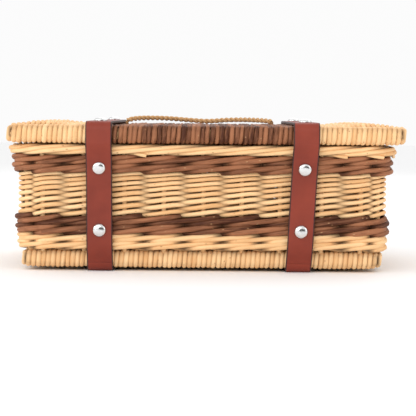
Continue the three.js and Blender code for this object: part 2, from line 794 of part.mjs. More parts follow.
// ---- Rope handle: its two ends go down through the lid into knots, its arch folds ----
const handle = new THREE.Group();
const handleAxis = lidTop + GAP + ROPE_RADIUS;
handle.position.set(HANDLE_SHIFT, 0, handleAxis);
const halfSpan = HANDLE_SPAN / 2;
const route = new THREE.CatmullRomCurve3(
  HANDLE_ROUTE.map(([along, back, up]) =>
    new THREE.Vector3(along * halfSpan, back * HANDLE_SAG, up),
  ),
);
const ropeSection = new THREE.Shape();
ropeSection.absarc(0, 0, ROPE_RADIUS, 0, 2 * Math.PI);
const rope = new THREE.ExtrudeGeometry(ropeSection, {
  steps: ROPE_STEPS,
  curveSegments: THIN_SIDES / 2,
  bevelEnabled: false,
  extrudePath: route,
});
piece(handle, "rope_handle", rope, "rope");

const knotTop = -LID_THICKNESS - GAP;
const ropeEnd = lathe([
  [0, knotTop - 1.7 * KNOT_RADIUS],
  [0.7 * KNOT_RADIUS, knotTop - 1.4 * KNOT_RADIUS],
  [KNOT_RADIUS, knotTop - 0.8 * KNOT_RADIUS],
  [0.75 * KNOT_RADIUS, knotTop],
  [ROPE_RADIUS, knotTop],
  [ROPE_RADIUS, 0],
  [0, 0],
]);
for (const { side, sign } of SIDES)
  piece(lid, `rope_end_${side}`, ropeEnd, "rope")
    .position.set(HANDLE_SHIFT + sign * halfSpan, 0, lidTop);

const assembly = new THREE.Group();
assembly.add(basket, lid, tails.left, tails.right, handle);
export default assembly;
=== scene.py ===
# A willow handlebar basket: woven base, walls and flat lid, two chestnut leather straps that hinge and
# close the lid, nickel rivets, two buckled loops for the handlebar and a slack rope handle.
# Lengths are written in millimetres and turned to metres where a mesh is made.
import math
import random

import bmesh
import bpy
import numpy as np
from mathutils import Matrix, Quaternion, Vector


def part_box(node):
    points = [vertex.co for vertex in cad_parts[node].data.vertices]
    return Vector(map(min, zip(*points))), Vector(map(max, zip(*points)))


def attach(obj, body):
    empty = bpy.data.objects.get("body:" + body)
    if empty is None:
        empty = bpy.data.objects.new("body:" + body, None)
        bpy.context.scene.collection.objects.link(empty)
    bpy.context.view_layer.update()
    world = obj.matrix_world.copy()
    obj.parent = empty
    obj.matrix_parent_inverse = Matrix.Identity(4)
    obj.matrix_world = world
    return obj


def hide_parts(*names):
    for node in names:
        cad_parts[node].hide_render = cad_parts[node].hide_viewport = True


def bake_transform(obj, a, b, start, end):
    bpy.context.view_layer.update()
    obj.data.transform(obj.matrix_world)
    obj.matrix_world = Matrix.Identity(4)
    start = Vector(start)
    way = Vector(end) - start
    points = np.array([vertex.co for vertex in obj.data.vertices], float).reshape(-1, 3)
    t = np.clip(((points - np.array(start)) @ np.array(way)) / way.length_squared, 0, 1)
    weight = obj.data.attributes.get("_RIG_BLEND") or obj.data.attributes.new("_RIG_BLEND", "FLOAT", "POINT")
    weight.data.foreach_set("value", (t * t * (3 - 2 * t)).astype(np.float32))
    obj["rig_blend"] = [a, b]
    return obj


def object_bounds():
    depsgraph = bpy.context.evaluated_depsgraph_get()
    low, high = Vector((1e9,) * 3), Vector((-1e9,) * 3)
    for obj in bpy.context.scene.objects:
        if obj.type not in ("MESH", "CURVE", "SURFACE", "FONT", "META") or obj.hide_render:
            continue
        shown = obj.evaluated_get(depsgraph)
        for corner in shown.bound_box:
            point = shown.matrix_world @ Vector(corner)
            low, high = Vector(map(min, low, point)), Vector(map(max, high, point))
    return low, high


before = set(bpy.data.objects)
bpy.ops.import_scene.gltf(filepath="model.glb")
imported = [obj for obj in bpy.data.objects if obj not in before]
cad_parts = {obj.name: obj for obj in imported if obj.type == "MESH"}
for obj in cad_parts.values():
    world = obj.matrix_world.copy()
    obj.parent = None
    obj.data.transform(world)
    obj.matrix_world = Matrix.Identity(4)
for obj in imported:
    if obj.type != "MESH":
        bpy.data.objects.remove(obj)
cad_box = [list(corner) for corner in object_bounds()]
bpy.context.scene.view_settings.view_transform = "Standard"

# ---- Camera ----
# A long lens just above the height of the lid's top, square to the hinge side, with the basket's
# length filling its view. It leans by half a degree.
MM = 0.001
CAMERA_PLACE = Vector((5.6, -1635, 151.5)) * MM
CAMERA_AIM = Vector((5.6, -135, 60.3)) * MM
CAMERA_ROLL = math.radians(0.5)
CAMERA_LENS = 136.5
CAMERA_FILM = 36

camera = bpy.data.objects.new("camera", bpy.data.cameras.new("camera"))
bpy.context.scene.collection.objects.link(camera)
camera.data.lens = CAMERA_LENS
camera.data.sensor_width = CAMERA_FILM
camera.data.clip_end = 50
camera.location = CAMERA_PLACE
aim = (CAMERA_AIM - CAMERA_PLACE).to_track_quat("-Z", "Y")
camera.rotation_euler = (aim @ Quaternion((0, 0, 1), CAMERA_ROLL)).to_euler()
bpy.context.scene.camera = camera

# ---- Studio ----
# A plain white floor under the basket, and large soft boxes: one above the camera, one on each side,
# and one behind. A dark card behind the camera gives the metal something dark to mirror.
FLOOR_HALF = 6
CARD_HALF = (1.1, 0.6)
CARD_PLACE = (0.75, -1.9, 0.3)
WORLD_STRENGTH = 0.97


def put(tree, kind, sockets=(), **settings):
    """Adds a node. sockets gives inputs by name or number: a value, or another node's output."""
    made = tree.nodes.new(kind)
    for name, value in settings.items():
        setattr(made, name, value)
    for name, value in dict(sockets).items():
        if isinstance(value, bpy.types.NodeSocket):
            tree.links.new(value, made.inputs[name])
        else:
            made.inputs[name].default_value = value
    return made


def finish_material(name, sockets):
    """A material whose surface is one Principled BSDF; sockets is a function of its node tree."""
    material = bpy.data.materials.new(name)
    material.use_nodes = True
    tree = material.node_tree
    tree.nodes.clear()
    surface = put(tree, "ShaderNodeBsdfPrincipled", sockets(tree))
    put(tree, "ShaderNodeOutputMaterial", {"Surface": surface.outputs["BSDF"]})
    return material


def floor_paint(tree):
    grain = put(tree, "ShaderNodeTexNoise", {"Scale": 3.0})
    tone = put(tree, "ShaderNodeMapRange", {"Value": grain.outputs["Fac"], 3: 0.93, 4: 0.96})
    return {"Base Color": tone.outputs[0], "Roughness": 0.9}


def card_paint(tree):
    return {"Base Color": (0.02, 0.02, 0.02, 1), "Roughness": 0.9}


def object_of(name, bm, material):
    """Puts a finished bmesh into the scene as an object of one material."""
    mesh = bpy.data.meshes.new(name)
    bm.to_mesh(mesh)
    bm.free()
    mesh.materials.append(material)
    made = bpy.data.objects.new(name, mesh)
    bpy.context.scene.collection.objects.link(made)
    return made


def sheet(name, half, turn, place, paint):
    """A flat rectangle of the studio. half gives half its two sides, and turn its turn about X."""
    bm = bmesh.new()
    bmesh.ops.create_grid(bm, x_segments=1, y_segments=1, size=1)
    bmesh.ops.scale(bm, verts=bm.verts, vec=(*half, 1))
    bmesh.ops.rotate(bm, verts=bm.verts, cent=(0, 0, 0), matrix=Matrix.Rotation(turn, 3, "X"))
    bmesh.ops.translate(bm, verts=bm.verts, vec=place)
    made = object_of(name, bm, finish_material(f"{name}_paint", paint))
    return made


sheet("floor", (FLOOR_HALF, FLOOR_HALF), 0, (0, 0, cad_box[0][2]), floor_paint)
card = sheet("dark_card", CARD_HALF, math.radians(90), CARD_PLACE, card_paint)
card.visible_camera = card.visible_diffuse = card.visible_shadow = False


def soft_box(name, place, aim_at, size, power):
    light = bpy.data.lights.new(name, "AREA")
    light.shape = "RECTANGLE"
    light.size, light.size_y = size
    light.energy = power
    box = bpy.data.objects.new(name, light)
    bpy.context.scene.collection.objects.link(box)
    box.location = place
    box.rotation_euler = (Vector(aim_at) - Vector(place)).to_track_quat("-Z", "Y").to_euler()


soft_box("front_box", (-0.6, -1.7, 0.9), (0, 0, 0.03), (1.6, 1.0), 11)
soft_box("left_box", (-1.7, -0.5, 0.9), (0, 0, 0.05), (1.0, 1.0), 6)
soft_box("right_box", (1.7, -0.6, 0.8), (0, 0, 0.05), (1.0, 1.0), 3)
soft_box("back_box", (0.3, 1.6, 1.4), (0, 0, 0.1), (1.4, 1.0), 8)
world = bpy.data.worlds.new("studio")
bpy.context.scene.world = world
world.use_nodes = True
world.node_tree.nodes["Background"].inputs["Color"].default_value = (1, 1, 1, 1)
world.node_tree.nodes["Background"].inputs["Strength"].default_value = WORLD_STRENGTH

# ---- Base ----
# A flat mat of buff willow: weavers pass over and under long sticks and turn round the two edge
# sticks, which gives the mat its wrapped edges. The tight straps press into its underside.
seeded = random.Random(7)
EDGE_STICK_INSET = 9.5
EDGE_STICK_RADIUS = 5
INNER_STICK_RADIUS = 3.2
MAT_HALF = 7.6  # from the middle of a mat to the faces of its passes
BASE_STICKS = (0, 21, 42, 63, 84)  # on both sides of the middle
BASE_WEAVERS = 74
BASE_CORNER = 12
STRAP_AT_BASE = (-98.2, 93.3)
STRAP_BED = 0.5
BED_HALF = 15


def box_of(*nodes):
    """The two corners of the space that nodes fill, in millimetres."""
    corners = [[Vector(corner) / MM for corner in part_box(node)] for node in nodes]
    low = Vector([min(c[0][i] for c in corners) for i in range(3)])
    high = Vector([max(c[1][i] for c in corners) for i in range(3)])
    return low, high


base_low, base_high = box_of("base_weave")
base_height = base_high.z


def finish_group(name, colours, amounts=()):
    """A node group that makes a colour, a roughness and a height out of colours and amounts."""
    group = bpy.data.node_groups.new(name, "ShaderNodeTree")
    for way, kind, sockets in (
        ("INPUT", "NodeSocketColor", colours),
        ("INPUT", "NodeSocketFloat", amounts),
        ("OUTPUT", "NodeSocketColor", ("Colour",)),
        ("OUTPUT", "NodeSocketFloat", ("Roughness", "Height")),
    ):
        for socket in sockets:
            group.interface.new_socket(socket, in_out=way, socket_type=kind)
    return group


def maths(tree, operation, *values, **settings):
    """What one Math node makes of the values."""
    return put(tree, "ShaderNodeMath", dict(enumerate(values)), operation=operation, **settings).outputs[0]


def mixed(tree, share, one, other):
    """The colour that lies share of the way from one to the other."""
    return put(tree, "ShaderNodeMix", {0: share, 6: one, 7: other}, data_type="RGBA").outputs[2]


def bumped(tree, height, strength, distance):
    """The normals of a surface with that height in it."""
    sockets = {"Height": height, "Strength": strength, "Distance": distance}
    return put(tree, "ShaderNodeBump", sockets).outputs["Normal"]


def willow_group():
    """What bark and grain do along a rod: a tone of its own, streaks, and darker leaf scars, and
    painted shade where the depth attribute says the rod lies deep in the weave.
    """
    amounts = ("Scars", "Streaks", "Own tone", "Shadow")
    group = finish_group("willow", ("Pale", "Deep", "Scar"), amounts)
    given = put(group, "NodeGroupInput")
    rod = put(group, "ShaderNodeAttribute", attribute_name="rod")
    depth = put(group, "ShaderNodeAttribute", attribute_name="depth")
    uv = put(group, "ShaderNodeUVMap", uv_map="UVMap")
    split = put(group, "ShaderNodeSeparateXYZ", {0: uv.outputs[0]})

    def along_rod(along, around, shift):
        parts = [(split.outputs[0], along), (split.outputs[1], around), (rod.outputs["Fac"], shift)]
        scaled = [maths(group, "MULTIPLY", part, scale) for part, scale in parts]
        return put(group, "ShaderNodeCombineXYZ", dict(enumerate(scaled))).outputs[0]

    streak = put(
        group,
        "ShaderNodeTexNoise",
        {"Vector": along_rod(0.5, 7, 37), "Scale": 1.0, "Detail": 4.0, "Roughness": 0.6},
    )
    slow = put(group, "ShaderNodeTexNoise", {"Vector": along_rod(0.22, 0.6, 91), "Scale": 1.0})
    scars = put(group, "ShaderNodeTexVoronoi", {"Vector": along_rod(0.9, 2.5, 53), "Scale": 1.0})
    scar = put(
        group,
        "ShaderNodeMapRange",
        {"Value": scars.outputs["Distance"], 1: 0.05, 2: 0.13, 3: 1.0, 4: 0.0},
    )
    scar_here = maths(group, "MULTIPLY", scar.outputs[0], given.outputs["Scars"])

    def weighed(value, weight):
        return maths(group, "MULTIPLY", maths(group, "SUBTRACT", value, 0.5), weight)

    own = weighed(rod.outputs["Fac"], given.outputs["Own tone"])
    fine = weighed(streak.outputs["Fac"], given.outputs["Streaks"])
    drift = weighed(slow.outputs["Fac"], 0.9)
    tone = maths(group, "ADD", maths(group, "ADD", own, fine), drift)
    middle = maths(group, "ADD", tone, 0.5, use_clamp=True)
    bark = mixed(group, middle, given.outputs["Pale"], given.outputs["Deep"])
    scarred = mixed(group, scar_here, bark, given.outputs["Scar"])
    # Painted shade: the depth attribute times the Shadow amount mixes the bark towards a near-black brown
    # where rods lie deep in the weave, between and behind other rods.
    deep = maths(group, "MULTIPLY", depth.outputs["Fac"], given.outputs["Shadow"])
    bark_in_painted_shade = mixed(group, deep, scarred, (0.05, 0.018, 0.006, 1))
    rough = put(group, "ShaderNodeMapRange", {"Value": streak.outputs["Fac"], 3: 0.5, 4: 0.75})
    relief = maths(group, "ADD", streak.outputs["Fac"], scar_here)
    made = {"Colour": bark_in_painted_shade, "Roughness": rough.outputs[0], "Height": relief}
    put(group, "NodeGroupOutput", made)
    return group


willow_nodes = willow_group()


def willow(name, pale, deep, scar, scars, streaks, own_tone, shadow=0.8, relief=0.35):
    def sockets(tree):
        values = {
            "Pale": (*pale, 1),
            "Deep": (*deep, 1),
            "Scar": (*scar, 1),
            "Scars": scars,
            "Streaks": streaks,
            "Own tone": own_tone,
            "Shadow": shadow,
        }
        bark = put(tree, "ShaderNodeGroup", values, node_tree=willow_nodes)
        return {
            "Base Color": bark.outputs["Colour"],
            "Roughness": bark.outputs["Roughness"],
            "Specular IOR Level": 0.22,
            "Normal": bumped(tree, bark.outputs["Height"], relief, 0.0004),
        }

    return finish_material(name, sockets)


buff_willow = willow(
    "buff_willow",
    pale=(0.95, 0.65, 0.35),
    deep=(0.74, 0.41, 0.175),
    scar=(0.27, 0.10, 0.035),
    scars=0.7,
    streaks=1.1,
    own_tone=0.6,
)
peeled_stick = willow(
    "peeled_stick",
    pale=(0.88, 0.60, 0.32),
    deep=(0.68, 0.39, 0.17),
    scar=(0.30, 0.13, 0.05),
    scars=0.4,
    streaks=0.7,
    own_tone=0.4,
)


def rods_to_piece(name, rods, material, sides=8, depth=None):
    """Joins rods into one piece. A rod is (points, radii, closed) in millimetres. Each rod gets a tone
    of its own, UVs that give the distance along it in centimetres, and the depth in the weave, which
    the willow shader turns into painted shade."""
    curves = []
    for points, radii, closed in rods:
        curve = bpy.data.curves.new("rod", "CURVE")
        curve.dimensions = "3D"
        curve.bevel_depth = MM
        curve.bevel_resolution = sides // 2 - 2
        curve.use_fill_caps = not closed
        spline = curve.splines.new("POLY")
        spline.points.add(len(points) - 1)
        spline.points.foreach_set("co", [c for x, y, z in points for c in (x * MM, y * MM, z * MM, 1)])
        spline.points.foreach_set("radius", radii)
        spline.use_cyclic_u = closed
        spline.use_smooth = True
        curves.append(bpy.data.objects.new("rod", curve))
        bpy.context.scene.collection.objects.link(curves[-1])
    graph = bpy.context.evaluated_depsgraph_get()
    whole = bmesh.new()
    for curve, (points, radii, closed) in zip(curves, rods):
        mesh = bpy.data.meshes.new_from_object(curve.evaluated_get(graph))
        tone = mesh.attributes.new("rod", "FLOAT", "POINT")
        tone.data.foreach_set("value", [seeded.random()] * len(mesh.vertices))
        length = sum(math.dist(a, b) for a, b in zip(points, points[1:]))
        uv = mesh.uv_layers[0].data
        flat = np.zeros(2 * len(uv))
        uv.foreach_get("uv", flat)
        flat[0::2] *= length / 10
        uv.foreach_set("uv", flat)
        whole.from_mesh(mesh)
        bpy.data.meshes.remove(mesh)
        data = curve.data
        bpy.data.objects.remove(curve)
        bpy.data.curves.remove(data)
    piece = object_of(name, whole, material)
    mesh = piece.data
    if depth is not None:
        places = np.zeros(3 * len(mesh.vertices))
        mesh.vertices.foreach_get("co", places)
        values = np.clip(depth(places.reshape(-1, 3) / MM), 0, 1)
        mesh.attributes.new("depth", "FLOAT", "POINT").data.foreach_set("value", values)
    mesh.shade_smooth()
    return piece


def mat_weaver(x, half_depth, sticks, half_height, middle, thickness, spread, lift):
    """One weaver's closed turn: out over the mat, round one edge stick, back, round the other.
    The two passes go over and under the sticks by turns and lie a little apart."""
    radius = thickness / 2
    edge = half_depth - EDGE_STICK_INSET
    reach = EDGE_STICK_INSET - radius
    rise = half_height - radius
    wave = INNER_STICK_RADIUS + radius * 0.8
    inner = [y + seeded.uniform(-1.6, 1.6) for y in sorted({-y for y in sticks} | set(sticks))]
    crossings = [-edge, *inner, edge]

    def turn(side):
        for degrees in range(90, -91, -20):
            angle = math.radians(degrees)
            out = max(math.cos(angle), 0) ** 0.62
            up = math.copysign(abs(math.sin(angle)) ** 0.72, math.sin(angle))
            yield side * (edge + reach * out), rise * up, degrees / 90

    def passing(first):
        heights = [(wave if (i % 2 == 0) == (first > 0) else -wave) + lift for i in range(len(crossings))]
        heights[0] = first * rise
        heights[-1] = rise * (first if len(crossings) % 2 else -first)
        for i in range(len(crossings) - 1):
            for share, smooth in ((0.27, 0.08), (0.5, 0.5), (0.73, 0.92)):
                y = crossings[i] + (crossings[i + 1] - crossings[i]) * share
                yield y, heights[i] + (heights[i + 1] - heights[i]) * smooth
            if i < len(crossings) - 2:
                yield crossings[i + 1], heights[i + 1]

    points = [(x - spread, y, middle + z) for y, z in passing(1)]
    points += [(x - spread * t, y, middle + z) for y, z, t in turn(1)]
    points += [(x + spread, y, middle + z) for y, z in reversed(list(passing(-1)))]
    points += [(x + spread * t, y, middle + z) for y, z, t in reversed(list(turn(-1)))]
    radii = [radius * (1.1 if abs(y) > edge - 12 else 0.92) for _, y, _ in points]
    return points, radii, True


def corner_setback(end_distance, corner):
    """How far a mat's edge lies back at that distance from its end, where its corner is rounded."""
    if end_distance >= corner:
        return 0
    return corner - math.sqrt(corner**2 - (corner - end_distance) ** 2)


# The depth of each point in a mat, for painted shade: 1 deep between the passes, falling to 0 at the mat's
# faces, edges and ends.
def mat_depth(middle, half_height, lift, half_depth, start, end):
    def depth(places):
        lifts = np.array([lift(x) for x in places[:, 0]])
        height = places[:, 2] - middle
        up = np.maximum(np.abs(height - lifts) / MAT_HALF, np.abs(height) / half_height)
        across = (np.abs(places[:, 1]) - half_depth + 8) / 8
        ends = (np.maximum(start - places[:, 0], places[:, 0] - end) + 6) / 6
        return 1.9 - 2.1 * np.maximum(np.maximum(up, across), ends)

    return depth


def mat(name, start, end, half_depth, sticks, height, bottom, count, material, corner, jitter, lift, beds):
    """Weavers side by side from start to end. lift is how far the mat inside its edges stands higher at
    a place, and beds are the places of straps pressed in from below."""
    pitch = (end - start) / count
    middle = bottom + height / 2
    weavers = []
    for i in range(count):
        x = start + (i + 0.5) * pitch + seeded.uniform(-jitter, jitter)
        setback = max(corner_setback(x - corner[0], corner[2]), corner_setback(corner[1] - x, corner[2]))
        pressed = STRAP_BED if any(abs(x - bed) < BED_HALF for bed in beds) else 0
        weavers.append(
            mat_weaver(
                x,
                half_depth - setback - seeded.uniform(0, 0.3 + 2 * jitter),
                sticks,
                height / 2 - seeded.uniform(0, 0.5) - pressed / 2 - 0.3 * setback,
                middle + pressed / 2,
                pitch * seeded.uniform(0.98 - jitter / 3, 1.08 + jitter / 4),
                pitch * seeded.uniform(0.16, 0.3),
                lift(x),
            )
        )
    depth = mat_depth(middle, height / 2, lift, half_depth, corner[0], corner[1])
    return rods_to_piece(name, weavers, material, sides=10, depth=depth)


base = mat(
    "base_willow",
    base_low.x,
    base_high.x,
    base_high.y,
    BASE_STICKS,
    base_height,
    0,
    BASE_WEAVERS,
    buff_willow,
    (base_low.x, base_high.x, BASE_CORNER),
    0.15,
    lambda x: 0,
    STRAP_AT_BASE,
)
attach(base, "basket")
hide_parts("base_weave")

# The long sticks that the base is woven on, peeled and as thick as a finger at the edges.
def straight_rod(start, end, radius, steps=8):
    points = [Vector(start).lerp(Vector(end), i / steps) for i in range(steps + 1)]
    return [tuple(p) for p in points], [radius] * (steps + 1), False


def sticks_of(name, half_depth, rows, start, end, edge_end, height):
    rods = [
        straight_rod((start, side * y, height), (end, side * y, height), INNER_STICK_RADIUS)
        for y in rows
        for side in ((1,) if y == 0 else (-1, 1))
    ]
    edge = half_depth - EDGE_STICK_INSET
    rods += [
        straight_rod((start + edge_end, y, height), (end - edge_end, y, height), EDGE_STICK_RADIUS)
        for y in (-edge, edge)
    ]
    return rods_to_piece(name, rods, peeled_stick, sides=12)


base_sticks = sticks_of(
    "base_sticks", base_high.y, BASE_STICKS, base_low.x + 1.5, base_high.x - 1.5, 12, base_height / 2
)
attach(base_sticks, "basket")
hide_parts(*[f"base_stick_{i}" for i in (1, 2, 3, 4)])

# ---- Side stakes ----
# Thirty peeled rods stand round the base between its weavers, and all bands are woven round them.
# They lean outwards under the upper wale, and their ends are bent down in the border.
side_low, side_high = box_of("side_weave")
SIDE_REACH = 24
CORE = (side_high.x - SIDE_REACH, side_high.y - SIDE_REACH)
MIDDLE_REACH = 18.25
STAKE_RADIUS = 2.4
FRONT_STAKES = (-154, -114, -75, -37, 1, 38, 75, 115, 153)
SIDE_STAKES = (-66, -22, 22, 66)
# The heights that a stake passes, and how far outside the core it stands there.
STAKE_LINE = ((7, 9), (17, 13), (23, 17), (44, 19.2), (57, 18), (90, 18.2), (101, 22.2), (114, 24.5))

quarter = math.pi / 2 * MIDDLE_REACH
runs = [2 * CORE[0], quarter, 2 * CORE[1], quarter, 2 * CORE[0], quarter, 2 * CORE[1], quarter]
starts = [sum(runs[:i]) for i in range(len(runs))]
round_length = sum(runs)
stake_places = (
    [x + CORE[0] for x in FRONT_STAKES]
    + [starts[1] + quarter / 2]
    + [starts[2] + y + CORE[1] for y in SIDE_STAKES]
    + [starts[3] + quarter / 2]
    + [starts[4] + CORE[0] - x for x in reversed(FRONT_STAKES)]
    + [starts[5] + quarter / 2]
    + [starts[6] + CORE[1] - y for y in reversed(SIDE_STAKES)]
    + [starts[7] + quarter / 2]
)
STAKES = len(stake_places)


def wall_point(along, reach):
    """The place on the walls that far along their middle line, that far outside the core."""
    along %= round_length
    run = max(i for i, start in enumerate(starts) if start <= along)
    share = along - starts[run]
    turn = math.radians(90) * (run // 2) - math.radians(90)
    if run % 2:
        turn += share / MIDDLE_REACH
        share = runs[run - 1]
    corners = ((-1, -1), (1, -1), (1, 1), (-1, 1))
    sign = corners[run // 2]
    heading = ((1, 0), (0, 1), (-1, 0), (0, -1))[run // 2]
    x = sign[0] * CORE[0] + heading[0] * share + reach * math.cos(turn)
    y = sign[1] * CORE[1] + heading[1] * share + reach * math.sin(turn)
    return x, y


def stake_along(number):
    """How far along the walls a stake stands; parts of a number lie between two stakes."""
    whole = math.floor(number)
    rounds, index = divmod(whole, STAKES)
    here = stake_places[index]
    after = stake_places[(index + 1) % STAKES] + (round_length if index == STAKES - 1 else 0)
    return rounds * round_length + here + (after - here) * (number - whole)


def stake_rod(number):
    points = []
    for (z1, reach1), (z2, reach2) in zip(STAKE_LINE, STAKE_LINE[1:]):
        for share in (0, 1 / 3, 2 / 3):
            reach = reach1 + (reach2 - reach1) * share
            points.append((*wall_point(stake_along(number), reach), z1 + (z2 - z1) * share))
    points.append((*wall_point(stake_along(number), STAKE_LINE[-1][1]), STAKE_LINE[-1][0]))
    return points, [STAKE_RADIUS] * len(points), False


stakes = rods_to_piece("side_stakes", [stake_rod(i) for i in range(STAKES)], peeled_stick)
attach(stakes, "basket")
corner_names = [f"corner_post_{end}_{side}" for end in ("front", "back") for side in ("left", "right")]
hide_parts(*corner_names)

# ---- Wales ----
# Three rods at a time pass in front of two stakes and behind one, and rise to the right as they do.
# Two rounds of buff rods sit on the base, with two of dark rods above, and two dark ones on top.
STEPS = 9  # points of a rod from one stake to the next
DIVE = (0.95, 1.7)  # where a stroke goes in and where it is right behind, in stakes
RETURN = 2.35  # where it starts to come out again

dark_willow = willow(
    "dark_willow",
    pale=(0.36, 0.145, 0.068),
    deep=(0.07, 0.020, 0.008),
    scar=(0.55, 0.32, 0.16),
    scars=0.7,
    streaks=1.9,
    own_tone=1.1,
    shadow=0.8,
    relief=0.7,
)


# The depth of each point in a wall, for painted shade: 1 at the middle of the wall's thickness, falling to 0
# towards its inner and outer faces.
def wall_depth(reach_middle, half):
    def depth(places):
        x = np.maximum(np.abs(places[:, 0]) - CORE[0], 0)
        y = np.maximum(np.abs(places[:, 1]) - CORE[1], 0)
        reach = np.hypot(x, y)
        return 1.25 - 2.2 * np.abs(reach - reach_middle) / half

    return depth


def smooth_noise(count, amount):
    """A closed run of small differences, one for each stake."""
    values = [seeded.uniform(-amount, amount) for _ in range(count)]
    return lambda s: values[math.floor(s) % count] * (1 - s % 1) + values[math.ceil(s) % count] * (s % 1)


def wale_rod(first, height, reach, swing, rise, radius):
    """A rod of a three-rod wale. first is the stake at which a stroke of it comes to the front."""
    points, radii = [], []
    wander = smooth_noise(STAKES, 0.35)
    taper = smooth_noise(STAKES, 0.1)
    for step in range(STAKES * STEPS):
        s = step / STEPS
        phase = (s - first) % 3
        stroke = s - phase
        if phase <= DIVE[0]:
            out = 1.0
        elif phase <= DIVE[1]:
            out = math.cos(math.pi * (phase - DIVE[0]) / (DIVE[1] - DIVE[0]))
        else:
            out = -math.cos(math.pi * max(phase - RETURN, 0) / (3 - RETURN))
        begin, top, behind = (stake_along(stroke + p) for p in (-0.5, 1.5, 2.5))
        here = stake_along(s)
        if phase > 2.5:
            begin, top = (stake_along(stroke + p) for p in (2.5, 4.5))
        if phase <= 1.5 or phase > 2.5:
            level = -1 + 2 * (here - begin) / (top - begin)
        else:
            level = 1 - 2 * (here - top) / (behind - top)
        place = wall_point(here, reach + swing * out)
        points.append((*place, height + rise * level + wander(s)))
        radii.append(radius * (1.12 - 0.12 * out + taper(s)))
    return points, radii, True


def wale(name, bottom, top, reach_outer, wall, material, thickness, node, slot):
    rounds = 2
    pitch = (top - bottom - thickness) / (2 * rounds - 1)
    middle = reach_outer - wall / 2
    swing = wall / 2 - thickness / 2
    rods = [
        wale_rod(
            first + level % 2,
            bottom + thickness / 2 + pitch * (2 * level + 0.5),
            middle,
            swing,
            pitch,
            thickness / 2 * seeded.uniform(0.95, 1.1),
        )
        for level in range(rounds)
        for first in range(3)
    ]
    piece = rods_to_piece(name, rods, material, depth=wall_depth(middle, wall / 2))
    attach(piece, "basket")
    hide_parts(node)


WALE_SPILL = 0.3  # the rods bulge that far past their band
wales = (
    ("lower_buff_wale", 12, buff_willow, 4.6, "lower_natural_wale", "natural_willow"),
    ("lower_brown_wale", 14, dark_willow, 5.0, "lower_dark_wale", "dark_willow"),
    ("upper_brown_wale", 14, dark_willow, 4.7, "upper_dark_wale", "dark_willow"),
)
for name, wall, material, thickness, node, slot in wales:
    low, high = box_of(node)
    reach = high.x - CORE[0]
    wale(name, low.z - WALE_SPILL, high.z + WALE_SPILL, reach, wall, material, thickness, node, slot)

# ---- Side weave ----
# Eight rows of pairing in thin buff rods: two rods twist about each other between the stakes, and
# each is in front at every other stake. The rows were packed tighter towards the top.
ROW_PITCHES = (6.2, 6.1, 5.7, 5.2, 4.8, 4.5, 4.3)
FIRST_ROW = 2.6
PAIR_RADIUS = 1.95
PAIR_GROWTH = 0.12  # how much thicker the rods of wider rows are
PAIR_SWING = 3.7
PAIR_RISE = 0.3  # how far a rod climbs over its partner, in row pitches
PAIR_TILT = 0.08  # how much higher it lies in front of a stake than behind one
SIDE_WALL = 11.5
side_middle = SIDE_REACH - SIDE_WALL / 2

rows = []
height = side_low.z + FIRST_ROW
for row in range(len(ROW_PITCHES) + 1):
    pitch = ROW_PITCHES[min(row, len(ROW_PITCHES) - 1)]
    for phase in (0, 1):
        wander = smooth_noise(STAKES, 0.3)
        taper = smooth_noise(STAKES, 0.12)
        radius = PAIR_RADIUS + PAIR_GROWTH * (pitch - 5)
        points, radii = [], []
        for step in range(STAKES * STEPS):
            s = step / STEPS
            angle = math.pi * (s + phase + row)
            place = wall_point(stake_along(s), side_middle + PAIR_SWING * math.cos(angle))
            lift = pitch * (PAIR_RISE * math.sin(angle) + PAIR_TILT * math.cos(angle))
            points.append((*place, height + lift + wander(s)))
            radii.append(radius * (1.13 - 0.13 * math.cos(angle) + taper(s)))
        rows.append((points, radii, True))
    height += pitch
side_weave = rods_to_piece("side_willow", rows, buff_willow, depth=wall_depth(side_middle, SIDE_WALL / 2))
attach(side_weave, "basket")
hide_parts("side_weave")

# ---- Border ----
# The stakes' ends, bent down to the right: each runs over the next ones, up across the top and down
# inside. Cut tips stick out below it at about two stakes out of three.
border_low, border_high = box_of("top_border")
BORDER_MIDDLE = (25.2, (border_low.z + border_high.z) / 2)
BORDER_SWING = (5.5, 3.3)
BORDER_ROD = 2.1
BORDER_REACH = 4.6
BORDER_STEPS = 30
BORDER_TURN = (-100, 200)
NO_TIP = 0.35  # the share of stakes without a tip
TIP_REACH = (27.6, 30.7)
TIP_HEIGHT = (1.6, -0.3)  # from the border's underside

strands = []
for number in range(STAKES):
    points, radii = [], []
    wander = seeded.uniform(-0.7, 0.7)
    for step in range(BORDER_STEPS + 1):
        share = step / BORDER_STEPS
        angle = math.radians(BORDER_TURN[0] + (BORDER_TURN[1] - BORDER_TURN[0]) * share)
        along = stake_along(number + BORDER_REACH * share)
        place = wall_point(along, BORDER_MIDDLE[0] + BORDER_SWING[0] * math.cos(angle))
        points.append((*place, BORDER_MIDDLE[1] + BORDER_SWING[1] * math.sin(angle) + wander * share))
        radii.append(BORDER_ROD * (1.12 - 0.3 * share))
    strands.append((points, radii, False))
    if seeded.random() < NO_TIP:
        continue
    tip = []
    spread = seeded.uniform(9, 17)
    for share in (0, 0.35, 0.7, 1):
        along = stake_along(number + 0.25) + spread * share
        place = wall_point(along, TIP_REACH[0] + (TIP_REACH[1] - TIP_REACH[0]) * share)
        rise = TIP_HEIGHT[0] + (TIP_HEIGHT[1] - TIP_HEIGHT[0]) * share
        tip.append((*place, border_low.z + rise))
    strands.append((tip, [1.2, 1.5, 1.7, 1.6], False))
border = rods_to_piece("border_willow", strands, buff_willow, depth=wall_depth(25, 8))
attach(border, "basket")
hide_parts("top_border")

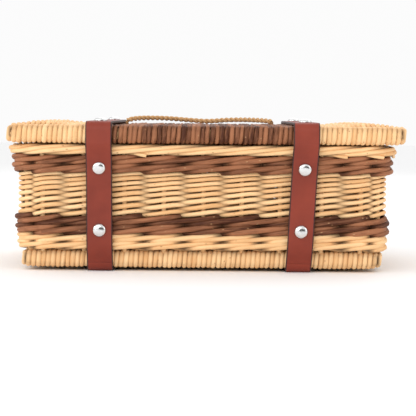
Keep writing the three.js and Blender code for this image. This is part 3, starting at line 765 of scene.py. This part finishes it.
# ---- Lid ----
# A second mat, woven like the base but in three parts: buff at both ends and brown, rougher rods in
# the middle. It isn't fixed to the walls; the straps hold it.
lid_low, lid_high = box_of("lid_weave_left", "lid_weave_right")
lid_height = lid_high.z - lid_low.z
LID_STICKS = (0, 21, 42, 63, 84, 104)
LID_CORNER = 11
LID_LIFT = 1.9
LID_CROWN = 3.0
LEVEL_HALF = 116
BROWN_HALF = 94.85


def lid_crown(x):
    """The lid's top is level under the straps and the rope, and swells a little at its two ends."""
    end = lid_low.x if x < 0 else lid_high.x
    share = min(abs(x - end) / (abs(end) - LEVEL_HALF), 1)
    return LID_LIFT + LID_CROWN * math.sin(math.pi * share**0.8) ** 2


lid_parts = (
    ("lid_willow_left", lid_low.x, -BROWN_HALF, 19, buff_willow, 0.15, "lid_weave_left", "natural_willow"),
    ("lid_willow_middle", -BROWN_HALF, BROWN_HALF, 41, dark_willow, 0.45, "lid_weave_centre", "dark_willow"),
    ("lid_willow_right", BROWN_HALF, lid_high.x, 21, buff_willow, 0.15, "lid_weave_right", "natural_willow"),
)
for name, start, end, count, material, jitter, node, slot in lid_parts:
    part = mat(
        name,
        start,
        end,
        lid_high.y,
        LID_STICKS,
        lid_height,
        lid_low.z,
        count,
        material,
        (lid_low.x, lid_high.x, LID_CORNER),
        jitter,
        lid_crown,
        (),
    )
    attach(part, "lid")
    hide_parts(node)

lid_middle = (lid_low.z + lid_high.z) / 2
lid_sticks = sticks_of(
    "lid_sticks", lid_high.y, LID_STICKS, lid_low.x + 1.5, lid_high.x - 1.5, 0, lid_middle
)
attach(lid_sticks, "lid")
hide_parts(*[f"lid_stick_{i}" for i in (1, 2, 3, 4)])

# ---- Leather straps ----
# Each is one strip of 25 mm bridle leather, 3 mm thick, with dark burnished edges. It runs down the
# handlebar side's wall, under the base, up the hinge side and over the lid, and bends at the hinge.
STRAP_WIDTH = 25
STRAP_THICKNESS = 3
EDGE_BAND = 2.2
STRAP_AT_LID = 99
HINGE_HEIGHT = lid_low.z + 2
LEATHER_GAP = 0.3  # between the leather and what it lies on
strap_top = lid_high.z + LEATHER_GAP
natural_low, natural_high = box_of("lower_natural_wale")
brown_low, brown_high = box_of("lower_dark_wale")
upper_low, upper_high = box_of("upper_dark_wale")
STRAP_INNER_WALL = (
    (lid_high.y + LEATHER_GAP, border_high.z),
    (border_high.y + LEATHER_GAP, border_low.z - LEATHER_GAP),
    (upper_high.y + LEATHER_GAP, upper_low.z),
    (brown_high.y + LEATHER_GAP, brown_high.z),
    (brown_high.y + LEATHER_GAP, brown_low.z),
    (natural_high.y + LEATHER_GAP, natural_low.z),
)
# Each bend: the middle of its arc in Y and in Z, and the arc's radius.
BASE_BEND = (base_high.y + LEATHER_GAP - 7, 7.2, 7)
LID_BEND = (lid_high.y + LEATHER_GAP - 6, strap_top - 6, 6)
TAIL_BEND = (lid_high.y + LEATHER_GAP - 4, strap_top - 4, 4)
SEAM_Y = 100
WALL_TILT = math.atan2(border_high.y - upper_high.y, border_low.z - LEATHER_GAP - upper_low.z)


def leather_group():
    """Chestnut hide: slow clouds of tone, a fine pebble, and darker dye towards the cut edges."""
    group = finish_group("hide", ("Face", "Deep", "Edge"))
    given = put(group, "NodeGroupInput")
    place = put(group, "ShaderNodeTexCoord").outputs["Object"]
    edge = put(group, "ShaderNodeAttribute", attribute_name="edge")
    cloud = put(group, "ShaderNodeTexNoise", {"Vector": place, "Scale": 28.0, "Detail": 3.0})
    pebble = put(group, "ShaderNodeTexVoronoi", {"Vector": place, "Scale": 1400.0})
    fine = put(group, "ShaderNodeTexNoise", {"Vector": place, "Scale": 500.0, "Detail": 3.0})
    spread = put(group, "ShaderNodeMapRange", {"Value": cloud.outputs["Fac"], 1: 0.3, 2: 0.7})
    hide = mixed(group, spread.outputs[0], given.outputs["Face"], given.outputs["Deep"])
    frayed = maths(group, "MULTIPLY_ADD", fine.outputs["Fac"], 0.35, edge.outputs["Fac"])
    rim = put(group, "ShaderNodeMapRange", {"Value": frayed, 1: 0.5, 2: 0.85})
    dyed = mixed(group, rim.outputs[0], hide, given.outputs["Edge"])
    rough = put(group, "ShaderNodeMapRange", {"Value": fine.outputs["Fac"], 3: 0.4, 4: 0.6})
    relief = maths(group, "MULTIPLY_ADD", fine.outputs["Fac"], 0.8, pebble.outputs["Distance"])
    made = {"Colour": dyed, "Roughness": rough.outputs[0], "Height": relief}
    put(group, "NodeGroupOutput", made)
    return group


def leather_sockets(tree):
    colours = {
        "Face": (0.265, 0.040, 0.020, 1),
        "Deep": (0.19, 0.027, 0.014, 1),
        "Edge": (0.045, 0.018, 0.016, 1),
    }
    hide = put(tree, "ShaderNodeGroup", colours, node_tree=hide_nodes)
    return {
        "Base Color": hide.outputs["Colour"],
        "Roughness": hide.outputs["Roughness"],
        "Specular IOR Level": 0.3,
        "Normal": bumped(tree, hide.outputs["Height"], 0.25, 0.0002),
    }


hide_nodes = leather_group()
leather = finish_material("strap_leather", leather_sockets)


def bend(y, z, radius, start, end, steps=8):
    """Points on an arc about (y, z), y counted outwards, between two angles in degrees."""
    angles = [math.radians(start + (end - start) * i / steps) for i in range(steps + 1)]
    return [(y + radius * math.cos(a), z + radius * math.sin(a)) for a in angles]


def eased(line, rounds=2):
    """The line with its corners cut again and again, its two ends kept."""
    for _ in range(rounds):
        cut = [line[0]]
        for (y1, z1), (y2, z2) in zip(line, line[1:]):
            cut.append((y1 * 0.75 + y2 * 0.25, z1 * 0.75 + z2 * 0.25))
            cut.append((y1 * 0.25 + y2 * 0.75, z1 * 0.25 + z2 * 0.75))
        cut.append(line[-1])
        line = cut
    return line


def leather_strip(name, line, width, thickness, middle_x, closed=False):
    """A strip with rounded edges whose inner face follows a line of (y, z), its outer face on the
    left of the way along the line. middle_x gives the place of its middle at a height. Its rounded
    section is extruded from each point of the line to the next."""
    half, r = width / 2, thickness * 0.32
    bm = bmesh.new()
    across = bm.verts.layers.float.new("across")
    above = bm.verts.layers.float.new("above")
    mark = bm.verts.layers.float.new("edge")

    def corner(x, t, start):
        angles = [math.radians(start + 30 * i) for i in range(4)]
        return [(x + r * math.cos(a), t + r * math.sin(a)) for a in angles]

    def set_down(verts, i):
        y, z = line[i]
        before = line[i - 1] if i or closed else line[0]
        after = line[(i + 1) % len(line)] if i < len(line) - 1 or closed else line[-1]
        way = Vector((after[0] - before[0], after[1] - before[1])).normalized()
        for vert in verts:
            height = z + way.x * vert[above]
            place = Vector((vert[across] + middle_x(height), y - way.y * vert[above], height))
            vert.co = place * MM

    ring = []
    for x, t in (
        (half - EDGE_BAND, 0),
        *corner(half - r, r, -90),
        *corner(half - r, thickness - r, 0),
        (half - EDGE_BAND, thickness),
        (EDGE_BAND - half, thickness),
        *corner(r - half, thickness - r, 90),
        *corner(r - half, r, 180),
        (EDGE_BAND - half, 0),
    ):
        ring.append(bm.verts.new())
        ring[-1][across], ring[-1][above] = x, t
        ring[-1][mark] = max(0.0, 1 - (half - abs(x)) / EDGE_BAND)
    set_down(ring, 0)
    first = edges = [bm.edges.new(pair) for pair in zip(ring, ring[1:] + ring[:1])]
    for i in range(1, len(line)):
        made = bmesh.ops.extrude_edge_only(bm, edges=edges)["geom"]
        edges = [e for e in made if isinstance(e, bmesh.types.BMEdge)]
        set_down([v for v in made if isinstance(v, bmesh.types.BMVert)], i)
    if closed:
        bmesh.ops.bridge_loops(bm, edges=first + edges)
    else:
        bmesh.ops.contextual_create(bm, geom=first)
        bmesh.ops.contextual_create(bm, geom=edges)
    bm.verts.layers.float.remove(across)
    bm.verts.layers.float.remove(bm.verts.layers.float["above"])
    bmesh.ops.recalc_face_normals(bm, faces=bm.faces)
    piece = object_of(name, bm, leather)
    piece.data.shade_smooth()
    return piece


strap_end = (border_high.y + LEATHER_GAP - 0.07, upper_high.z - LEATHER_GAP)
strap_line = eased(
    [
        strap_end,
        *STRAP_INNER_WALL[2:],
        *bend(*BASE_BEND, 0, -90),
        *[(-y, z) for y, z in reversed(bend(*BASE_BEND, 0, -90))],
        *[(-y, z) for y, z in reversed(STRAP_INNER_WALL)],
        (-lid_high.y - LEATHER_GAP, HINGE_HEIGHT),
        *[(-y, z) for y, z in bend(*LID_BEND, 0, 90)],
        (0, strap_top),
        (SEAM_Y, strap_top),
    ]
)


def strap_middle(side):
    at_base = STRAP_AT_BASE[side]
    at_lid = STRAP_AT_LID * (1 if side else -1)
    return lambda z: at_base + (at_lid - at_base) * min(max(z / HINGE_HEIGHT, 0), 1)


for side, sign in (("left", -1), ("right", 1)):
    strap = leather_strip(
        f"strap_{side}", strap_line, STRAP_WIDTH, STRAP_THICKNESS, strap_middle(sign > 0)
    )
    hinge = (sign * STRAP_AT_LID, -lid_high.y - LEATHER_GAP - STRAP_THICKNESS)
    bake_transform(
        strap,
        "basket",
        "lid",
        start=tuple(Vector((*hinge, HINGE_HEIGHT - 6)) * MM),
        end=tuple(Vector((*hinge, HINGE_HEIGHT + 6)) * MM),
    )
    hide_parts(f"body_strap_{side}", f"lid_strap_{side}")

# ---- Strap tails ----
# The strap's end hangs over the lid's far edge and closes on the body strap: a flat magnet in the
# tail meets a steel plate in the strap below.
def outside(y, z, slope, layer=STRAP_THICKNESS + LEATHER_GAP):
    """The point one layer of leather outside a point of the body strap's inner face."""
    return y + layer * math.cos(slope), z - layer * math.sin(slope)


tail_line = eased(
    [
        (SEAM_Y, strap_top),
        (TAIL_BEND[0] - 8, strap_top),
        *reversed(bend(*TAIL_BEND, 0, 90)),
        (lid_high.y + LEATHER_GAP, lid_low.z + 1),
        outside(*strap_end, WALL_TILT),
        outside(upper_high.y + LEATHER_GAP, upper_low.z, WALL_TILT),
        outside(upper_high.y + LEATHER_GAP - 0.4, upper_low.z - 6.5, 0.07),
    ]
)
for side, sign in (("left", -1), ("right", 1)):
    tail = leather_strip(
        f"tail_{side}", tail_line, STRAP_WIDTH, STRAP_THICKNESS, strap_middle(sign > 0)
    )
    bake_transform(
        tail,
        "lid",
        f"strap_tail_{side}",
        start=tuple(Vector((sign * STRAP_AT_LID, TAIL_BEND[0] - 2, strap_top + 2)) * MM),
        end=tuple(Vector((sign * STRAP_AT_LID, TAIL_BEND[0] + 6, strap_top - 6)) * MM),
    )
    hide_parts(f"strap_tail_{side}")

# ---- Rivets, washers and catches ----
# Domed nickel rivets clamp the straps on the wicker, with a washer and a peened end inside. The
# catches are flat discs let into the leather.
HEAD_RADIUS = 6.5
DOME = ((0, 3.2), (2.5, 3.07), (4.8, 2.5), (6.1, 1.4), (HEAD_RADIUS, 0.35), (6.35, 0))
SHANK_RADIUS = 1.6
PEEN_RADIUS = 1.2
PEEN_LENGTH = 0.6
WASHER_HOLE = 1.9
WASHER_RADIUS = 4.8
WASHER_BEVEL = 0.3
WASHER_HALF = 0.6  # half of its thickness


def nickel_sockets(tree):
    place = put(tree, "ShaderNodeTexCoord").outputs["Object"]
    wear = put(tree, "ShaderNodeTexNoise", {"Vector": place, "Scale": 420.0, "Detail": 4.0})
    rough = put(tree, "ShaderNodeMapRange", {"Value": wear.outputs["Fac"], 3: 0.1, 4: 0.32})
    haze = put(tree, "ShaderNodeMapRange", {"Value": wear.outputs["Fac"], 3: 0.62, 4: 0.85})
    tint = put(
        tree,
        "ShaderNodeCombineColor",
        {0: haze.outputs[0], 1: haze.outputs[0], 2: haze.outputs[0]},
    )
    return {
        "Base Color": tint.outputs[0],
        "Metallic": 1.0,
        "Roughness": rough.outputs[0],
        "Normal": bumped(tree, wear.outputs["Fac"], 0.12, 0.0002),
    }


nickel = finish_material("nickel_plate", nickel_sockets)


def turned(name, profile, place, direction, body, nodes, sides=32):
    """A piece spun from a profile of (radius, height), its axis along direction."""
    bm = bmesh.new()
    line = [bm.verts.new((radius, 0, height)) for radius, height in profile]
    edges = [bm.edges.new(pair) for pair in zip(line, line[1:])]
    bmesh.ops.spin(
        bm,
        geom=line + edges,
        cent=(0, 0, 0),
        axis=(0, 0, 1),
        angle=2 * math.pi,
        steps=sides,
        use_merge=True,
    )
    bmesh.ops.remove_doubles(bm, verts=bm.verts, dist=1e-4)
    bmesh.ops.recalc_face_normals(bm, faces=bm.faces)
    bmesh.ops.rotate(
        bm, verts=bm.verts, cent=(0, 0, 0), matrix=direction.to_track_quat("Z", "X").to_matrix()
    )
    bmesh.ops.translate(bm, verts=bm.verts, vec=place)
    bmesh.ops.scale(bm, verts=bm.verts, vec=(MM, MM, MM))
    piece = object_of(name, bm, nickel)
    piece.data.shade_smooth()
    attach(piece, body)
    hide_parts(*nodes)
    return piece


def node_middle(node):
    low, high = box_of(node)
    return (low + high) / 2


wall_out = {"front": Vector((0, -math.cos(WALL_TILT), -math.sin(WALL_TILT)))}
wall_out["back"] = Vector((0, -wall_out["front"].y, wall_out["front"].z))
straight_out = Vector((0, -1, 0))
up = Vector((0, 0, 1))


def rivet(name, node, direction, body):
    """A domed head, its shank and its peened end, as long as the node it stands for."""
    low, high = box_of(node)
    if direction.z > 0.9:
        reach = high.z - low.z
    else:
        reach = high.y - low.y - abs(direction.z) * HEAD_RADIUS
    length = reach / max(abs(direction.y), abs(direction.z)) - DOME[0][1]
    middle = (low + high) / 2
    outer = middle + direction * (length + DOME[0][1]) / 2 - direction * DOME[0][1]
    shank = [(SHANK_RADIUS, 0), (SHANK_RADIUS, -length + PEEN_LENGTH), (PEEN_RADIUS, -length)]
    turned(name, [*DOME, *shank, (0, -length)], outer, direction, body, [node])


def ring(name, node, direction, body):
    """A flat washer with its outer corners taken off."""
    flat, rim = WASHER_RADIUS - WASHER_BEVEL, WASHER_HALF - WASHER_BEVEL
    profile = [
        (WASHER_HOLE, -WASHER_HALF),
        (flat, -WASHER_HALF),
        (WASHER_RADIUS, -rim),
        (WASHER_RADIUS, rim),
        (flat, WASHER_HALF),
        (WASHER_HOLE, WASHER_HALF),
        (WASHER_HOLE, -WASHER_HALF),
    ]
    turned(name, profile, node_middle(node), direction, body, [node], sides=24)


for side in ("left", "right"):
    rivet(f"rivet_upper_{side}", f"upper_rivet_{side}", wall_out["front"], "basket")
    rivet(f"rivet_lower_{side}", f"lower_rivet_{side}", straight_out, "basket")
    ring(f"washer_upper_{side}", f"upper_rivet_washer_{side}", wall_out["front"], "basket")
    ring(f"washer_lower_{side}", f"lower_rivet_washer_{side}", straight_out, "basket")
    ring(f"washer_catch_{side}", f"catch_plate_washer_{side}", wall_out["back"], "basket")
    for end in ("hinge", "catch"):
        rivet(f"lid_rivet_round_{end}_{side}", f"lid_rivet_{end}_{side}", up, "lid")
        ring(f"lid_washer_round_{end}_{side}", f"lid_washer_{end}_{side}", up, "lid")
    for node in (f"catch_plate_{side}", f"catch_magnet_{side}"):
        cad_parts[node].data.materials.clear()
        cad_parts[node].data.materials.append(nickel)

# ---- Handlebar loops ----
# Two short leather straps pass through the side weave round the bar, each closed by a nickel buckle
# with a pin, and a leather keeper for the strap's end.
LOOP_THICKNESS = 2.5
LOOP_WIDTH = 20
LOOP_HALF = 8.75
BAR_FROM_WALL = 23
LOOP_RADIUS = 15.3
BUCKLE_TURN = 32
BUCKLE_WIRE = 1.35
BUCKLE_SPARE = 3  # from the strap's edge to the middle of the frame's side
PIN_WIRE = 1.2
PIN_LIFT = 2.1


def wire_arc(bar, out, radius, turn, steps=10):
    """A wire bent about the bar, at a distance out from the strap's middle."""
    angles = [math.radians(turn - 2 * turn * i / steps) for i in range(steps + 1)]
    x, y, z = bar
    return [(out + x, y + radius * math.cos(a), z + radius * math.sin(a)) for a in angles]


for side in ("left", "right"):
    low, high = box_of(f"handlebar_strap_{side}")
    loop_x, bar_y, bar_z = (low.x + high.x) / 2, side_high.y + BAR_FROM_WALL, (low.z + high.z) / 2
    outer_y, inner_y = side_high.y + LEATHER_GAP, low.y + LOOP_THICKNESS
    away = bar_y - outer_y
    meets = math.degrees(
        math.pi - math.atan2(LOOP_HALF, away) - math.acos(LOOP_RADIUS / math.hypot(LOOP_HALF, away))
    )
    loop_line = [
        (inner_y, bar_z + LOOP_HALF),
        ((inner_y + outer_y) / 2, bar_z + LOOP_HALF),
        (outer_y, bar_z + LOOP_HALF),
        *reversed(bend(bar_y, bar_z, LOOP_RADIUS, -meets, meets, 24)),
        (outer_y, bar_z - LOOP_HALF),
        ((inner_y + outer_y) / 2, bar_z - LOOP_HALF),
        (inner_y, bar_z - LOOP_HALF),
    ]
    loop = leather_strip(
        f"loop_{side}", loop_line, LOOP_WIDTH, LOOP_THICKNESS, lambda z: loop_x, closed=True
    )
    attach(loop, "basket")
    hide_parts(f"handlebar_strap_{side}")
    bar, wire = (loop_x, bar_y, bar_z), LOOP_RADIUS + LOOP_THICKNESS + 0.1 + BUCKLE_WIRE
    half = LOOP_WIDTH / 2 + BUCKLE_SPARE
    buckle = wire_arc(bar, half, wire, BUCKLE_TURN) + wire_arc(bar, -half, wire, BUCKLE_TURN)[::-1]
    pin = wire_arc(bar, 0, wire + PIN_LIFT, BUCKLE_TURN)
    rods = [(buckle, [BUCKLE_WIRE] * len(buckle), True), (pin, [PIN_WIRE] * len(pin), False)]
    metal = rods_to_piece(f"buckle_{side}", rods, nickel, sides=12)
    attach(metal, "basket")
    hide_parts(f"buckle_frame_{side}", f"buckle_pin_{side}")
    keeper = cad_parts[f"strap_keeper_{side}"]
    keeper.data.materials.clear()
    keeper.data.materials.append(leather)

# ---- Rope handle ----
# A slack handle of two-ply straw rope, about 5 mm thick. Its ends go down through the lid and end in
# knots under it, and its arch lies back on the lid and folds over at its feet.
HANDLE_SPAN = 150
HANDLE_SAG = 39
HANDLE_SHIFT = -4
HANDLE_FOOT = strap_top + 2.7
# Places along the arch from foot to foot: shares of half the span and of the sag, and the rise.
HANDLE_ROUTE = (
    (-1, 0, 0),
    (-0.93, 0.08, 1.6),
    (-0.8, 0.31, 2.7),
    (-0.6, 0.57, 2.9),
    (-0.37, 0.8, 2.2),
    (-0.13, 0.95, 0.8),
    (0.05, 1, 0),
    (0.19, 0.97, 0.2),
    (0.37, 0.85, 1.3),
    (0.56, 0.67, 1.8),
    (0.76, 0.39, 1.7),
    (0.92, 0.12, 1),
    (1, 0, 0),
)
PLY_RADIUS = 1.45
PLY_OFFSET = 1.22
PLY_PITCH = 11
ROPE_END_LENGTH = 24
KNOT_POINTS = 50
KNOT_TURNS = 2.6
KNOT_RADIUS = 3.4
KNOT_SWELL = 0.6  # how much wider it is halfway down
KNOT_DROP = 2.5  # from the lid's underside to the knot's first turn
KNOT_LENGTH = 6.5


def rope_sockets(tree):
    uv = put(tree, "ShaderNodeUVMap", uv_map="UVMap")
    turn = put(
        tree,
        "ShaderNodeMapping",
        {"Vector": uv.outputs[0], "Scale": (9, 3.0, 1), "Rotation": (0, 0, 0.35)},
    )
    fibre = put(
        tree, "ShaderNodeTexNoise", {"Vector": turn.outputs[0], "Scale": 1.0, "Detail": 5.0}
    )
    rough = put(tree, "ShaderNodeMapRange", {"Value": fibre.outputs["Fac"], 3: 0.75, 4: 0.95})
    return {
        "Base Color": mixed(tree, fibre.outputs["Fac"], (0.78, 0.50, 0.24, 1), (0.36, 0.16, 0.05, 1)),
        "Roughness": rough.outputs[0],
        "Normal": bumped(tree, fibre.outputs["Fac"], 0.8, 0.0006),
    }


rope_straw = finish_material("rope_straw", rope_sockets)


def catmull(points, steps):
    """A smooth line through points."""
    whole = [points[0] * 2 - points[1], *points, points[-1] * 2 - points[-2]]
    line = []
    for a, b, c, d in zip(whole, whole[1:], whole[2:], whole[3:]):
        for i in range(steps):
            t = i / steps
            line.append(
                0.5
                * (2 * b + (c - a) * t + (2 * a - 5 * b + 4 * c - d) * t**2 + (3 * b - a - 3 * c + d) * t**3)
            )
    return [*line, points[-1]]


def twisted(line, plies=2):
    """The plies of a rope along a line: each turns about it once in a pitch."""
    rods = []
    for ply in range(plies):
        points, radii, travelled = [], [], 0
        side = Vector((0, 0, 1))
        for i, place in enumerate(line):
            ahead = line[min(i + 1, len(line) - 1)] - line[max(i - 1, 0)]
            along = ahead.normalized()
            side = (side - along * side.dot(along)).normalized()
            if i:
                travelled += (place - line[i - 1]).length
            angle = 2 * math.pi * (travelled / PLY_PITCH + ply / plies)
            offset = side * math.cos(angle) + along.cross(side) * math.sin(angle)
            points.append(tuple(place + offset * PLY_OFFSET))
            radii.append(PLY_RADIUS)
        rods.append((points, radii, False))
    return rods


half_span = HANDLE_SPAN / 2
arch = [
    Vector((HANDLE_SHIFT + share * half_span, sag * HANDLE_SAG, HANDLE_FOOT + rise))
    for share, sag, rise in HANDLE_ROUTE
]
rope_line = catmull(arch, 14)
rope_length = sum((b - a).length for a, b in zip(rope_line, rope_line[1:]))
rope = rods_to_piece("rope_arch", twisted(rope_line), rope_straw)
foot = Vector((HANDLE_SHIFT, 0, HANDLE_FOOT)) * MM
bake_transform(rope, "lid", "handle", start=tuple(foot), end=tuple(foot + Vector((0, 0.008, 0))))
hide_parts("rope_handle")
for side, sign in (("left", -1), ("right", 1)):
    x = HANDLE_SHIFT + sign * half_span
    down = [Vector((x, 0, HANDLE_FOOT - 0.2 - i)) for i in range(ROPE_END_LENGTH)]
    knot = []
    for i in range(KNOT_POINTS):
        share = i / (KNOT_POINTS - 1)
        angle = 2 * math.pi * KNOT_TURNS * share
        wide = KNOT_RADIUS + KNOT_SWELL * math.sin(math.pi * share)
        z = lid_low.z - KNOT_DROP - KNOT_LENGTH * share
        knot.append(Vector((x + wide * math.cos(angle), wide * math.sin(angle), z)))
    end = rods_to_piece(f"rope_foot_{side}", twisted(down) + twisted(knot), rope_straw)
    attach(end, "lid")
    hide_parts(f"rope_end_{side}")
